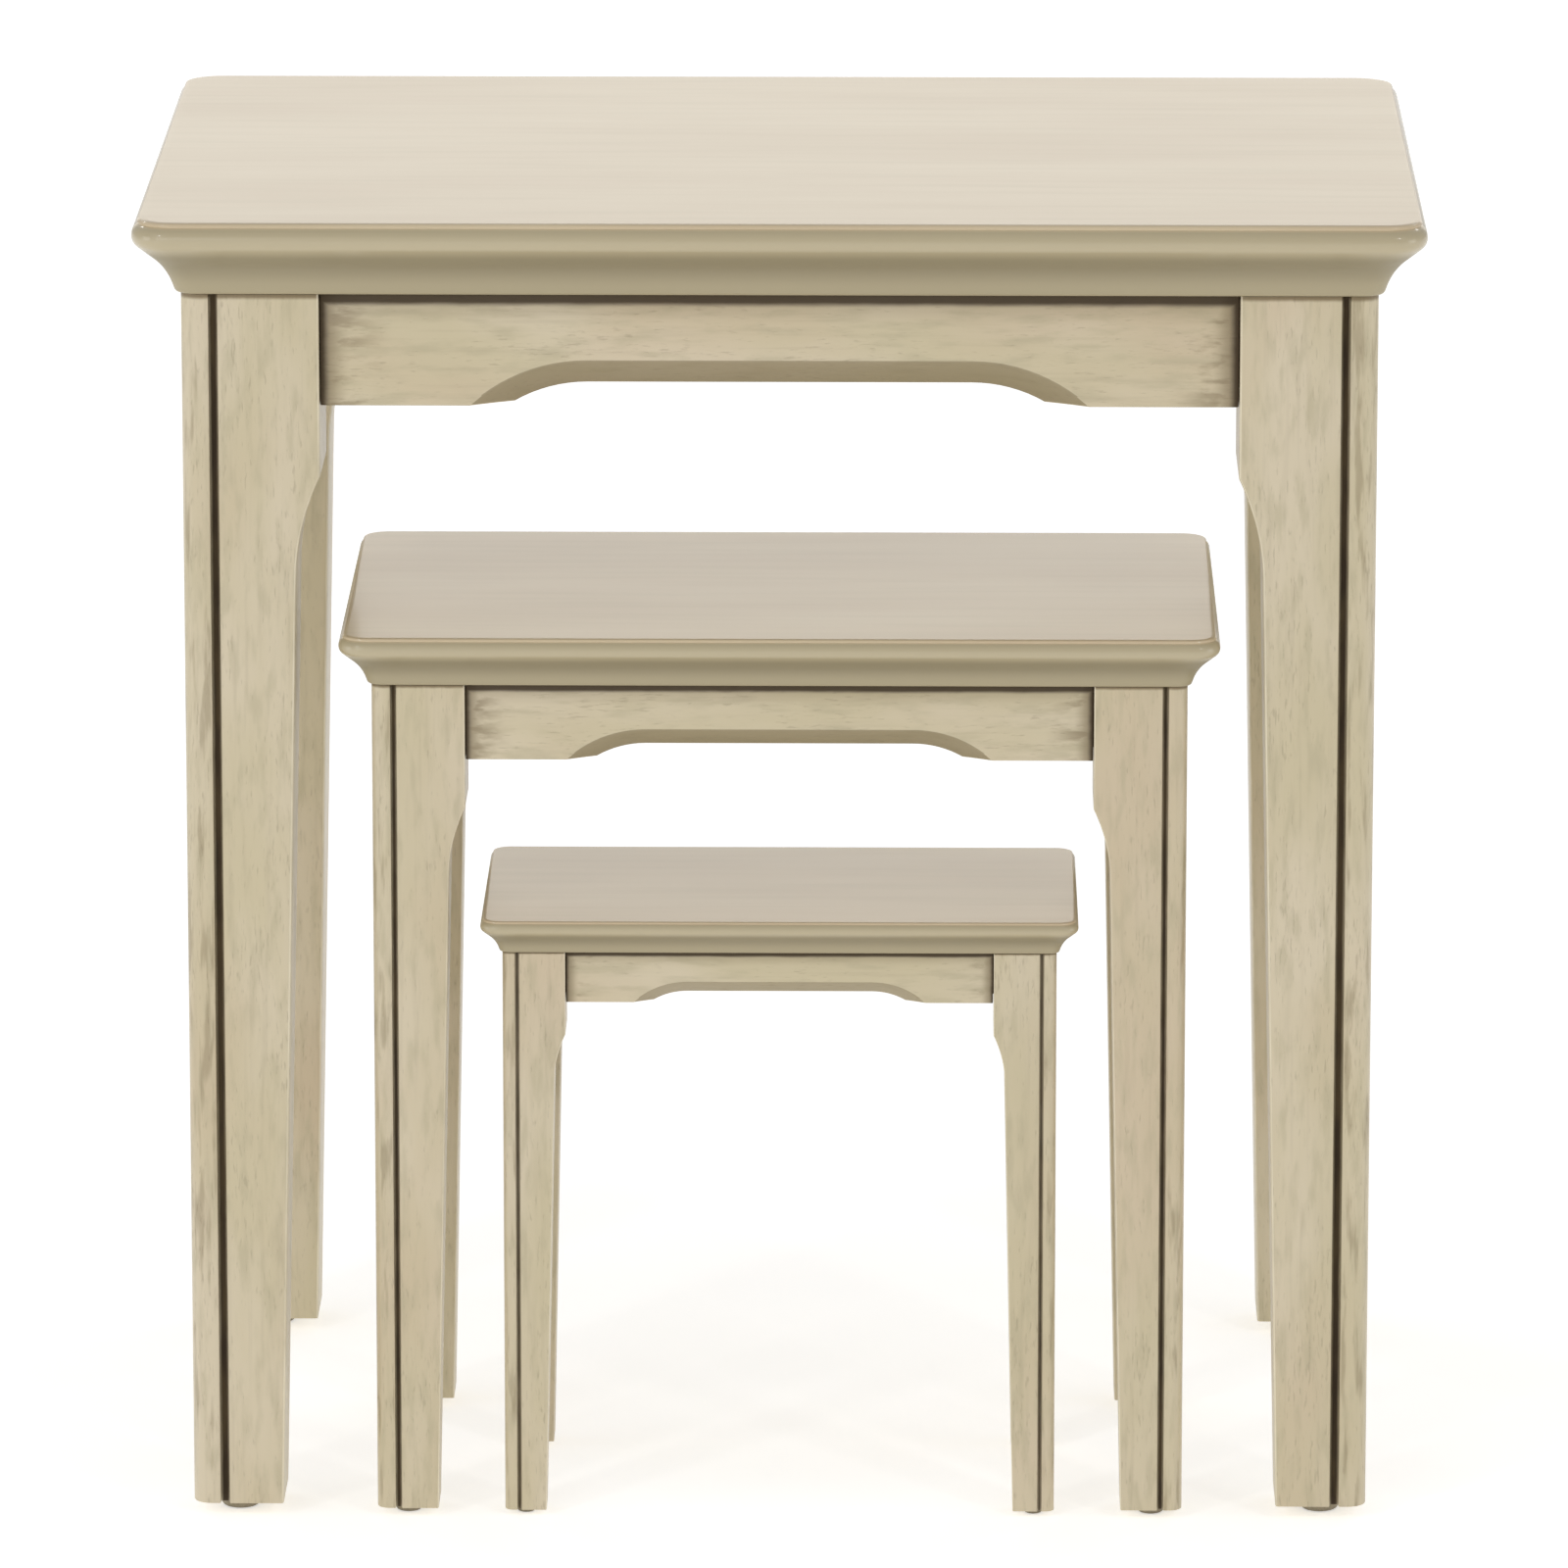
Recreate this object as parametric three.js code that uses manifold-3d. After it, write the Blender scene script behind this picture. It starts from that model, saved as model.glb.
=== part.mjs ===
// A nest of three small tables: large, medium and small, one standing inside the other.
// Lengths are millimetres, +Z is up, the front is -Y, and the origin is on the floor under the
// middle of the large table. Each table is the same joinery: a moulded top on four tapered legs,
// four arched aprons tenoned into the legs, four corner blocks that hold the top's screws, and a
// nailed glide under each foot.

import * as THREE from 'three';
import { mergeVertices } from 'three/addons/utils/BufferGeometryUtils.js';
import Module from 'manifold-3d';

const wasm = await Module();
wasm.setup();

// ---- Each table's own sizes ---------------------------------------------------------------------
// width and depth are over the moulded edge; forward is how far the table stands ahead of the
// large one's middle; section is the size of its mouldings, legs and rails against the large one's.

const TABLES = [
  { name: 'large', width: 560, depth: 385, height: 585, forward: 0, section: 1 },
  { name: 'medium', width: 384, depth: 232, height: 401, forward: 70, section: 0.68 },
  { name: 'small', width: 262, depth: 146, height: 273, forward: 106, section: 0.46 },
];

// ---- Sections, as they are on the large table ---------------------------------------------------

const GAP = 0.3;                // clearance between faces that meet
const OVERSHOOT = 1;            // how far a cutting shape runs past the face it cuts
const SHORTEST = 0.5;           // no step along an apron is shorter than this

const TOP_THICKNESS = 34;
const TOP_CORNER_RADIUS = 13;   // in plan, at the nose of the moulding
const LIP_CORNER_RADIUS = 5;    // in plan, at the bottom lip of the moulding
const MOULDING_INSET = 20;      // from the nose to the foot of the moulding
const MOULDING_FILLET = 3;      // round at the top arris
const MOULDING_BAND = 4.5;      // upright band below it
const MOULDING_NOSE = 6;        // round under the band
const MOULDING_TURN = 50;       // degrees that the nose turns in
const MOULDING_RUN = 8.7;       // straight run between nose and cove
const MOULDING_COVE = 27.6;     // cove radius
const MOULDING_COVE_END = 20;   // degrees from upright where the cove ends
const MOULDING_LIP = 2.4;       // straight lip under the cove
const MOULDING_LIP_ROUND = 2.4; // round at the bottom arris

const OVERHANG = 20.5;          // nose of the top to the outer face of a leg
const LEG_TOP = 60;             // square block at the head of the leg
const LEG_SHOULDER = 49.2;      // width where the curved shoulder ends
const LEG_FOOT = 40;
const LEG_BLOCK_LENGTH = 81;    // head block, below the top
const LEG_SHOULDER_LENGTH = 44;
const BEAD_WIDTH = 12.2;        // corner bead that runs down the outer corner
const BEAD_RADIUS = 8;
const QUIRK_WIDTH = 3.8;        // groove beside the bead
const QUIRK_DEPTH = 4;

const APRON_HEIGHT = 50;
const APRON_THICKNESS = 20;
const APRON_SETBACK = 4;        // behind the outer faces of the legs
const ARCH_RISE = 20;
const ARCH_RADIUS = 75;         // arcs at the two ends of the arch, on the outer face
const ARCH_CHAMFER = 11.5;      // 45 degree chamfer along the arch
const LONG_ARCH_END = 65;       // straight bottom edge beside each leg, front and rear aprons
const SHORT_ARCH_END = 34;      // the same on the side aprons

const TENON_THICKNESS = 8;
const TENON_LENGTH = 28;
const TENON_SHOULDER = 8;       // above and below the tenon

const BLOCK_WALL = 8.3;         // wood between the notch's corner and the block's long face
const BLOCK_HEIGHT = 28;
const SCREW_HOLE_RADIUS = 2.6;
const PILOT_RADIUS = 1.6;
const PILOT_DEPTH = 15;
const SCREW_ALONG = 1 / 3;      // the screw's place in a block's arm, along it from the notch
const SCREW_ACROSS = 1 / 4;     // and in from the apron, as shares of the arm

const GLIDE_HEIGHT = 6;
const GLIDE_RADIUS = 8.8;
const GLIDE_FLAT_RADIUS = 5.6;
const GLIDE_SWELL_RADIUS = 7.9; // of the dome, a quarter of the way up
const GLIDE_SWELL = 0.25;
const GLIDE_RIM = 0.7;          // where the dome reaches its full radius, as a share of its height
const NAIL_RADIUS = 1.6;
const NAIL_LENGTH = 14;

// ---- Fineness of the curves ---------------------------------------------------------------------

const CORNER_STEPS = 4;
const FILLET_STEPS = 2;
const NOSE_STEPS = 3;
const COVE_STEPS = 4;
const LIP_STEPS = 2;
const BEAD_STEPS = 4;
const SHOULDER_STEPS = 5;
const ARCH_STEPS = 5;
const ROUND_SIDES = 12;

// ---- Finishes -----------------------------------------------------------------------------------

const FINISHES = {
  top: { color: 0xd6cab6, roughness: 0.42, metalness: 0 },
  frame: { color: 0xc4b89c, roughness: 0.5, metalness: 0 },
  block: { color: 0xc9a878, roughness: 0.8, metalness: 0 },
  glide: { color: 0x8d897e, roughness: 0.5, metalness: 0 },
};

const CORNERS = [
  { name: 'front_left', x: -1, y: -1 },
  { name: 'front_right', x: 1, y: -1 },
  { name: 'rear_left', x: -1, y: 1 },
  { name: 'rear_right', x: 1, y: 1 },
];

// ---- Geometry helpers ---------------------------------------------------------------------------

const radians = THREE.MathUtils.degToRad;

// A closed body through rings of points that all have the same number of corners.
function loft(rings) {
  const count = rings[0].length;
  const positions = rings.flat().flatMap((point) => [point.x, point.y, point.z]);
  const triangles = [];
  for (let ring = 0; ring + 1 < rings.length; ring += 1) {
    for (let i = 0; i < count; i += 1) {
      const a = ring * count + i;
      const b = ring * count + ((i + 1) % count);
      triangles.push([a, b, b + count], [a, b + count, a + count]);
    }
  }
  const lastRing = (rings.length - 1) * count;
  for (const [a, b, c] of capTriangles(rings[0])) {
    triangles.push([c, b, a]);
    triangles.push([lastRing + a, lastRing + b, lastRing + c]);
  }
  return closedBody(positions, triangles);
}

// Triangles that fill a flat ring, turning the same way as the ring does.
function capTriangles(ring) {
  const normal = new THREE.Vector3();
  ring.forEach((point, i) => {
    normal.add(new THREE.Vector3().crossVectors(point, ring[(i + 1) % ring.length]));
  });
  normal.normalize();
  const across = new THREE.Vector3().subVectors(ring[1], ring[0]).normalize();
  const up = new THREE.Vector3().crossVectors(normal, across);
  const flat = ring.map((point) => new THREE.Vector2(point.dot(across), point.dot(up)));
  return THREE.ShapeUtils.triangulateShape(flat, []);
}

// A geometry whose faces all point out, whichever way round its rings were drawn.
function closedBody(positions, triangles) {
  const corner = (i) => new THREE.Vector3().fromArray(positions, 3 * i);
  const volume = triangles.reduce(
    (sum, [a, b, c]) => sum + corner(a).dot(corner(b).cross(corner(c))),
    0,
  );
  const outward = volume > 0 ? triangles : triangles.map(([a, b, c]) => [c, b, a]);
  const geometry = new THREE.BufferGeometry();
  geometry.setAttribute('position', new THREE.Float32BufferAttribute(positions, 3));
  geometry.setIndex(outward.flat());
  return geometry;
}

function toSolid(source) {
  const bare = source.clone();
  bare.deleteAttribute('normal');
  bare.deleteAttribute('uv');
  const merged = mergeVertices(bare, 1e-4);
  return new wasm.Manifold(new wasm.Mesh({
    numProp: 3,
    vertProperties: Float32Array.from(merged.attributes.position.array),
    triVerts: Uint32Array.from(merged.index.array),
  }));
}

function toGeometry(solid) {
  const mesh = solid.getMesh();
  const geometry = new THREE.BufferGeometry();
  geometry.setAttribute('position', new THREE.Float32BufferAttribute(mesh.vertProperties, 3));
  geometry.setIndex(Array.from(mesh.triVerts));
  return geometry;
}

function cut(body, tools) {
  return toGeometry(tools.reduce((solid, tool) => solid.subtract(toSolid(tool)), toSolid(body)));
}

function join(body, additions) {
  return toGeometry(additions.reduce((solid, part) => solid.add(toSolid(part)), toSolid(body)));
}

function boxBetween(low, high) {
  const size = new THREE.Vector3().subVectors(high, low);
  const middle = new THREE.Vector3().addVectors(low, high).multiplyScalar(0.5);
  return new THREE.BoxGeometry(size.x, size.y, size.z).translate(middle.x, middle.y, middle.z);
}

// The box that holds two opposite corners given in any order.
function boxAcross(first, second) {
  return boxBetween(first.clone().min(second), first.clone().max(second));
}

function uprightCylinder(radius, x, y, bottom, top) {
  return new THREE.CylinderGeometry(radius, radius, top - bottom, ROUND_SIDES)
    .rotateX(Math.PI / 2)
    .translate(x, y, (bottom + top) / 2);
}

// ---- The sizes of one table, worked out from its specification ----------------------------------

function measure(spec) {
  const section = (length) => length * spec.section;
  const legTop = section(LEG_TOP);
  const halfX = spec.width / 2 - section(OVERHANG);
  const halfY = spec.depth / 2 - section(OVERHANG);
  const underside = spec.height - section(TOP_THICKNESS);
  return {
    ...spec,
    section,
    halfX,                                       // middle to the outer face of a leg
    halfY,
    underside,
    frameTop: underside - GAP,                   // top of legs, aprons and corner blocks
    footZ: section(GLIDE_HEIGHT),
    legTop,
    apronBottom: underside - section(APRON_HEIGHT),
    apronInner: section(APRON_SETBACK + APRON_THICKNESS),
    tenonMiddle: section(APRON_SETBACK + APRON_THICKNESS / 2),
    tenonTop: underside - section(TENON_SHOULDER),
    tenonBottom: underside - section(APRON_HEIGHT - TENON_SHOULDER),
    middleY: -spec.forward,
  };
}

// A point given by its distances in from a leg's two outer faces.
function fromCorner(table, corner, inX, inY, z) {
  return new THREE.Vector3(
    corner.x * (table.halfX - inX),
    table.middleY + corner.y * (table.halfY - inY),
    z,
  );
}

// ---- Top ----------------------------------------------------------------------------------------

// The moulded edge as [inset from the nose, drop from the upper face], from top to underside.
function mouldingProfile() {
  const points = [];
  const arc = (cx, cy, radius, from, to, steps) => {
    for (let i = 0; i <= steps; i += 1) {
      const angle = radians(from + ((to - from) * i) / steps);
      points.push([cx - radius * Math.cos(angle), cy + radius * Math.sin(angle)]);
    }
  };
  arc(MOULDING_FILLET, MOULDING_FILLET, MOULDING_FILLET, -90, 0, FILLET_STEPS);
  const bandEnd = MOULDING_FILLET + MOULDING_BAND;
  arc(MOULDING_NOSE, bandEnd, MOULDING_NOSE, 0, MOULDING_TURN, NOSE_STEPS);
  const [noseInset, noseDrop] = points[points.length - 1];
  const runInset = noseInset + MOULDING_RUN * Math.sin(radians(MOULDING_TURN));
  const runDrop = noseDrop + MOULDING_RUN * Math.cos(radians(MOULDING_TURN));
  const coveX = runInset - MOULDING_COVE * Math.cos(radians(MOULDING_TURN));
  const coveY = runDrop + MOULDING_COVE * Math.sin(radians(MOULDING_TURN));
  for (let i = 0; i <= COVE_STEPS; i += 1) {
    const turn = radians(MOULDING_TURN + ((MOULDING_COVE_END - MOULDING_TURN) * i) / COVE_STEPS);
    points.push([coveX + MOULDING_COVE * Math.cos(turn), coveY - MOULDING_COVE * Math.sin(turn)]);
  }
  const [coveInset, coveDrop] = points[points.length - 1];
  const lean = radians(MOULDING_COVE_END);
  const lipInset = coveInset + MOULDING_LIP * Math.sin(lean);
  const lipDrop = coveDrop + MOULDING_LIP * Math.cos(lean);
  const roundX = lipInset + MOULDING_LIP_ROUND * Math.cos(lean);
  const roundY = lipDrop - MOULDING_LIP_ROUND * Math.sin(lean);
  arc(roundX, roundY, MOULDING_LIP_ROUND, MOULDING_COVE_END, 90, LIP_STEPS);
  const [fullInset, fullDrop] = points[points.length - 1];
  return points.map(([inset, drop]) => [
    (inset * MOULDING_INSET) / fullInset,
    (drop * TOP_THICKNESS) / fullDrop,
  ]);
}

function roundedRectangle(halfX, halfY, radius, centreY, z) {
  const ring = [];
  const turns = [[1, -1, -90], [1, 1, 0], [-1, 1, 90], [-1, -1, 180]];
  for (const [sideX, sideY, start] of turns) {
    for (let i = 0; i <= CORNER_STEPS; i += 1) {
      const angle = radians(start + (90 * i) / CORNER_STEPS);
      ring.push(new THREE.Vector3(
        sideX * (halfX - radius) + radius * Math.cos(angle),
        centreY + sideY * (halfY - radius) + radius * Math.sin(angle),
        z,
      ));
    }
  }
  return ring;
}

function topGeometry(table) {
  const { section } = table;
  const rings = mouldingProfile().map(([inset, drop]) => {
    const share = inset / MOULDING_INSET;
    const radius = THREE.MathUtils.lerp(TOP_CORNER_RADIUS, LIP_CORNER_RADIUS, share);
    return roundedRectangle(
      table.width / 2 - section(inset),
      table.depth / 2 - section(inset),
      section(radius),
      table.middleY,
      table.height - section(drop),
    );
  });
  const pilots = CORNERS.map((corner) => {
    const centre = screwPoint(table, corner);
    return uprightCylinder(
      section(PILOT_RADIUS),
      centre.x,
      centre.y,
      table.underside - OVERSHOOT,
      table.underside + section(PILOT_DEPTH),
    );
  });
  return cut(loft(rings), pilots);
}

// ---- Legs ---------------------------------------------------------------------------------------

// Width of the leg at a height: square head, curved shoulder, then a straight taper to the foot.
function legWidth(table, z) {
  const { section } = table;
  const headEnd = table.underside - section(LEG_BLOCK_LENGTH);
  const shoulderEnd = headEnd - section(LEG_SHOULDER_LENGTH);
  const taper = (section(LEG_SHOULDER) - section(LEG_FOOT)) / (shoulderEnd - table.footZ);
  const straight = (height) => section(LEG_FOOT) + taper * (height - table.footZ);
  if (z <= shoulderEnd) {
    return straight(z);
  }
  const rise = (z - shoulderEnd) / (headEnd - shoulderEnd);
  const swell = table.legTop - straight(headEnd);
  return straight(z) + swell * rise * rise;
}

// The leg in plan: a square with a rounded outer corner and a groove in each outer face.
function legOutline(table, width) {
  const { section } = table;
  const bead = section(BEAD_WIDTH);
  const quirk = bead + section(QUIRK_WIDTH);
  const depth = section(QUIRK_DEPTH);
  const radius = section(BEAD_RADIUS);
  const groove = [[bead, 0], [bead, depth], [quirk, depth], [quirk, 0]];
  const corner = [];
  for (let i = 0; i <= BEAD_STEPS; i += 1) {
    const angle = radians((90 * i) / BEAD_STEPS);
    corner.push([radius * (1 - Math.sin(angle)), radius * (1 - Math.cos(angle))]);
  }
  const sideGroove = groove.map(([along, deep]) => [deep, along]);
  return [
    [width, width],
    [width, 0],
    ...groove.reverse(),
    ...corner,
    ...sideGroove,
    [0, width],
  ];
}

function legGeometry(table, corner) {
  const { section } = table;
  const headEnd = table.underside - section(LEG_BLOCK_LENGTH);
  const shoulderEnd = headEnd - section(LEG_SHOULDER_LENGTH);
  const heights = [table.footZ];
  for (let i = 0; i <= SHOULDER_STEPS; i += 1) {
    heights.push(shoulderEnd + ((headEnd - shoulderEnd) * i) / SHOULDER_STEPS);
  }
  const rings = heights.map((z) => legRing(table, corner, legWidth(table, z), z));
  rings.push(legRing(table, corner, table.legTop, table.frameTop));
  const foot = fromCorner(table, corner, section(LEG_FOOT) / 2, section(LEG_FOOT) / 2, 0);
  const nailHole = uprightCylinder(
    section(NAIL_RADIUS) + GAP,
    foot.x,
    foot.y,
    table.footZ - OVERSHOOT,
    table.footZ + section(NAIL_LENGTH) + GAP,
  );
  return cut(loft(rings), [...mortises(table, corner), nailHole]);
}

function legRing(table, corner, width, z) {
  return legOutline(table, width).map(([inX, inY]) => fromCorner(table, corner, inX, inY, z));
}

// Two blind mortises, one from each inner face, for the front or rear apron and the side apron.
function mortises(table, corner) {
  const { section } = table;
  const half = section(TENON_THICKNESS) / 2 + GAP;
  const near = table.tenonMiddle - half;
  const far = table.tenonMiddle + half;
  const end = table.legTop - section(TENON_LENGTH) - GAP;
  const open = table.legTop + OVERSHOOT;
  const low = table.tenonBottom - GAP;
  const high = table.tenonTop + GAP;
  return [
    boxAcross(fromCorner(table, corner, end, near, low), fromCorner(table, corner, open, far, high)),
    boxAcross(fromCorner(table, corner, near, end, low), fromCorner(table, corner, far, open, high)),
  ];
}

// ---- Aprons -------------------------------------------------------------------------------------

// Height of an arch above the straight bottom edge, at a distance from the middle of the apron.
// inward is how far the line lies inside the arch on the outer face, down the chamfer.
function archHeight(distance, flatHalf, rise, radius, inward) {
  const past = Math.abs(distance) - flatHalf;
  if (past <= 0) {
    return Math.max(rise - inward, 0);
  }
  const reach = radius - inward;
  if (past >= reach) {
    return 0;
  }
  return Math.max(Math.sqrt(reach * reach - past * past) - (radius - rise), 0);
}

function archStations(half, flatHalf, rise, radius, inward) {
  const reach = radius - inward;
  const foot = radius - rise;
  const sweep = Math.acos(foot / reach);
  const stations = [];
  for (let i = 0; i <= ARCH_STEPS; i += 1) {
    stations.push(flatHalf + reach * Math.sin((sweep * i) / ARCH_STEPS));
  }
  return stations.filter((station) => station < half - SHORTEST);
}

// An apron between two legs. place(along, inward, z) puts its points on one side of the table.
function apronGeometry(table, length, archEnd, place) {
  const { section } = table;
  const half = length / 2 - GAP;
  const rise = section(ARCH_RISE);
  const radius = section(ARCH_RADIUS);
  const chamfer = section(ARCH_CHAMFER);
  const thickness = section(APRON_THICKNESS);
  const arcReach = Math.sqrt(radius * radius - (radius - rise) * (radius - rise));
  const flatHalf = Math.max(length / 2 - section(archEnd) - arcReach, SHORTEST);
  const positive = [
    ...archStations(half, flatHalf, rise, radius, 0),
    ...archStations(half, flatHalf, rise, radius, chamfer).slice(1),
    half,
  ].sort((a, b) => a - b);
  const stations = [...positive.map((station) => -station).reverse(), ...positive];
  const rings = stations.map((along) => {
    const face = table.apronBottom + archHeight(along, flatHalf, rise, radius, 0);
    const through = table.apronBottom + archHeight(along, flatHalf, rise, radius, chamfer);
    return [
      place(along, 0, table.frameTop),
      place(along, 0, face),
      place(along, chamfer, through),
      place(along, thickness, through),
      place(along, thickness, table.frameTop),
    ];
  });
  const tenonNear = (thickness - section(TENON_THICKNESS)) / 2;
  const tenonFar = tenonNear + section(TENON_THICKNESS);
  const root = half - section(TENON_SHOULDER);
  const tip = length / 2 + section(TENON_LENGTH);
  const tenons = [-1, 1].map((end) => boxAcross(
    place(end * root, tenonNear, table.tenonBottom),
    place(end * tip, tenonFar, table.tenonTop),
  ));
  return join(loft(rings), tenons);
}

function longApron(table, side) {
  const outer = table.halfY - table.section(APRON_SETBACK);
  const place = (along, inward, z) => new THREE.Vector3(
    along,
    table.middleY + side * (outer - inward),
    z,
  );
  return apronGeometry(table, 2 * (table.halfX - table.legTop), LONG_ARCH_END, place);
}

function shortApron(table, side) {
  const outer = table.halfX - table.section(APRON_SETBACK);
  const place = (along, inward, z) => new THREE.Vector3(
    side * (outer - inward),
    table.middleY + along,
    z,
  );
  return apronGeometry(table, 2 * (table.halfY - table.legTop), SHORT_ARCH_END, place);
}

// ---- Corner blocks ------------------------------------------------------------------------------

// A corner block in plan: near is its face on an apron, notch clears the leg, and reach is the far
// end of its arms, which leaves BLOCK_WALL of wood behind the notch.
function blockPlan(table) {
  const near = table.apronInner + GAP;
  const notch = table.legTop + GAP;
  const reach = 2 * notch + table.section(BLOCK_WALL) * Math.SQRT2 - near;
  return { near, notch, reach };
}

// Where the screw goes up through a corner block into the top, in the arm on the long apron.
function screwPoint(table, corner) {
  const { near, notch, reach } = blockPlan(table);
  const arm = reach - notch;
  return fromCorner(table, corner, notch + arm * SCREW_ALONG, near + arm * SCREW_ACROSS, table.underside);
}

// A block glued in the corner of two aprons, notched round the leg and holed for the top's screw.
function blockGeometry(table, corner) {
  const { section } = table;
  const { near, notch, reach } = blockPlan(table);
  const outline = [[notch, near], [reach, near], [near, reach], [near, notch], [notch, notch]];
  const bottom = table.frameTop - section(BLOCK_HEIGHT);
  const rings = [bottom, table.frameTop].map(
    (z) => outline.map(([inX, inY]) => fromCorner(table, corner, inX, inY, z)),
  );
  const centre = screwPoint(table, corner);
  const hole = uprightCylinder(
    section(SCREW_HOLE_RADIUS),
    centre.x,
    centre.y,
    bottom - OVERSHOOT,
    table.frameTop + OVERSHOOT,
  );
  return cut(loft(rings), [hole]);
}

// ---- Glides -------------------------------------------------------------------------------------

// A domed glide with its nail, under the middle of the foot.
function glideGeometry(table, corner) {
  const { section } = table;
  const height = section(GLIDE_HEIGHT) - GAP;
  const radius = section(GLIDE_RADIUS);
  const flat = section(GLIDE_FLAT_RADIUS);
  const nail = section(NAIL_RADIUS);
  const nailTop = section(GLIDE_HEIGHT) + section(NAIL_LENGTH);
  const profile = [
    [0, 0],
    [flat, 0],
    [section(GLIDE_SWELL_RADIUS), height * GLIDE_SWELL],
    [radius, height * GLIDE_RIM],
    [radius, height],
    [nail, height],
    [nail, nailTop],
    [0, nailTop],
  ].map(([x, y]) => new THREE.Vector2(x, y));
  const middle = section(LEG_FOOT) / 2;
  const foot = fromCorner(table, corner, middle, middle, 0);
  const lathe = new THREE.LatheGeometry(profile, ROUND_SIDES)
    .rotateX(Math.PI / 2)
    .translate(foot.x, foot.y, 0);
  return toGeometry(toSolid(lathe));
}

// ---- Assembly -----------------------------------------------------------------------------------

function addPiece(group, name, geometry, finish) {
  const flat = geometry.toNonIndexed();
  flat.computeVertexNormals();
  const piece = new THREE.Mesh(flat, new THREE.MeshStandardMaterial(FINISHES[finish]));
  piece.name = name;
  group.add(piece);
}

function buildTable(spec) {
  const table = measure(spec);
  const group = new THREE.Group();
  const named = (piece) => `${spec.name}_${piece}`;
  addPiece(group, named('top'), topGeometry(table), 'top');
  addPiece(group, named('apron_front'), longApron(table, -1), 'frame');
  addPiece(group, named('apron_rear'), longApron(table, 1), 'frame');
  addPiece(group, named('apron_left'), shortApron(table, -1), 'frame');
  addPiece(group, named('apron_right'), shortApron(table, 1), 'frame');
  for (const corner of CORNERS) {
    addPiece(group, named(`leg_${corner.name}`), legGeometry(table, corner), 'frame');
    addPiece(group, named(`corner_block_${corner.name}`), blockGeometry(table, corner), 'block');
    addPiece(group, named(`glide_${corner.name}`), glideGeometry(table, corner), 'glide');
  }
  return group;
}

const nest = new THREE.Group();
TABLES.forEach((spec) => nest.add(buildTable(spec)));

export default nest;
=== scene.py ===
"""A nest of three painted side tables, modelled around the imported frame.

Lengths are metres, +Z is up and the front is -Y. Every table has a moulded top, four tapered legs
with a bead and two quirks, four arched aprons, corner blocks with their screws, and glides.
"""

import math

import bmesh
import bpy
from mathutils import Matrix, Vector


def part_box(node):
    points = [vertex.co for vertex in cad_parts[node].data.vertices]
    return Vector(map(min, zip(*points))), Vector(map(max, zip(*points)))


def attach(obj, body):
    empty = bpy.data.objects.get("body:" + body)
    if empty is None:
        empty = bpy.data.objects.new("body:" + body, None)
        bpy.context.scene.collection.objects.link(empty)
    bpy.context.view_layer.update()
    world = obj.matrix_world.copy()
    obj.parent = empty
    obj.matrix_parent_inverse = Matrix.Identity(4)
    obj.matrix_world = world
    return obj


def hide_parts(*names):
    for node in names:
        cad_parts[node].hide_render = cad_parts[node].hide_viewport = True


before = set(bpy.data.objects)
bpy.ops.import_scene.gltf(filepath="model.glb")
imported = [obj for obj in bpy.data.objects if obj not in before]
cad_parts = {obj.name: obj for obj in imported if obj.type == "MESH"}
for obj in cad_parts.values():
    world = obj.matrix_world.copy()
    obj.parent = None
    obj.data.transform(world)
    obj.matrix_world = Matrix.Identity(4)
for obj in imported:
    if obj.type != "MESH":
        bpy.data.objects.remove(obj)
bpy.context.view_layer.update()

# ---- Sections, as they are on the large table --------------------------------------------------------

MM = 0.001
TOP_THICKNESS = 34 * MM
TOP_CORNER = 17 * MM            # radius in plan, at the nose of the moulding
LIP_CORNER = 8 * MM             # radius in plan, at the foot of the moulding
MOULDING_INSET = 20 * MM        # nose to foot of the moulding
RIDGE = 1.6 * MM                # round of the ridge at the upper face
RIDGE_BACK = 2.4 * MM           # how far the ridge stands behind the nose
FLAT_RIM = 2 * MM               # flat strip that keeps the ridge's shading off the upper face
RIDGE_END = -10                 # degrees from level where the ridge ends in the crease
NOSE = 6.1 * MM                 # radius of the round nose under it
NOSE_DROP = 7.1 * MM            # from the upper face to the middle of the nose
NOSE_START = -56                # degrees from level where the nose leaves the crease over it
NOSE_TURN = 50                  # degrees that the nose turns in
RUN = 8.7 * MM                  # straight run between nose and cove
COVE = 27.6 * MM                # cove radius
COVE_END = 20                   # degrees from upright where the cove ends
LIP = 2.4 * MM
LIP_ROUND = 2.4 * MM

LEG_TOP = 60 * MM               # square head of the leg
LEG_SHOULDER = 49.2 * MM        # width where the curved shoulder ends
LEG_FOOT = 40 * MM
LEG_HEAD_LENGTH = 81 * MM
LEG_SHOULDER_LENGTH = 44 * MM
BEAD = 12.2 * MM                # bead on the outer corner
BEAD_ROUND = 8 * MM
QUIRK = 3.8 * MM                # groove beside the bead
QUIRK_DEPTH = 4 * MM
QUIRK_ROUND = 1.1 * MM          # round in the bottom of the groove
QUIRK_RIM = 0.5 * MM            # eased rims of the groove
LEG_ARRIS = 1.3 * MM            # eased long arrises
FOOT_ARRIS = 0.8 * MM

APRON_HEIGHT = 50 * MM
APRON_THICKNESS = 20 * MM
ARCH_RISE = 20 * MM
ARCH_RADIUS = 75 * MM
ARCH_CHAMFER = 11.5 * MM
LONG_ARCH_END = 65 * MM         # straight bottom edge beside each leg, front and rear
SHORT_ARCH_END = 34 * MM        # the same on the sides
APRON_ARRIS = 0.7 * MM
ARCH_CLEAR = 5 * MM             # how far the cutter of the arch stands out in front

TENON_THICKNESS = 8 * MM
TENON_LENGTH = 28 * MM
TENON_SHOULDER = 8 * MM

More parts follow.
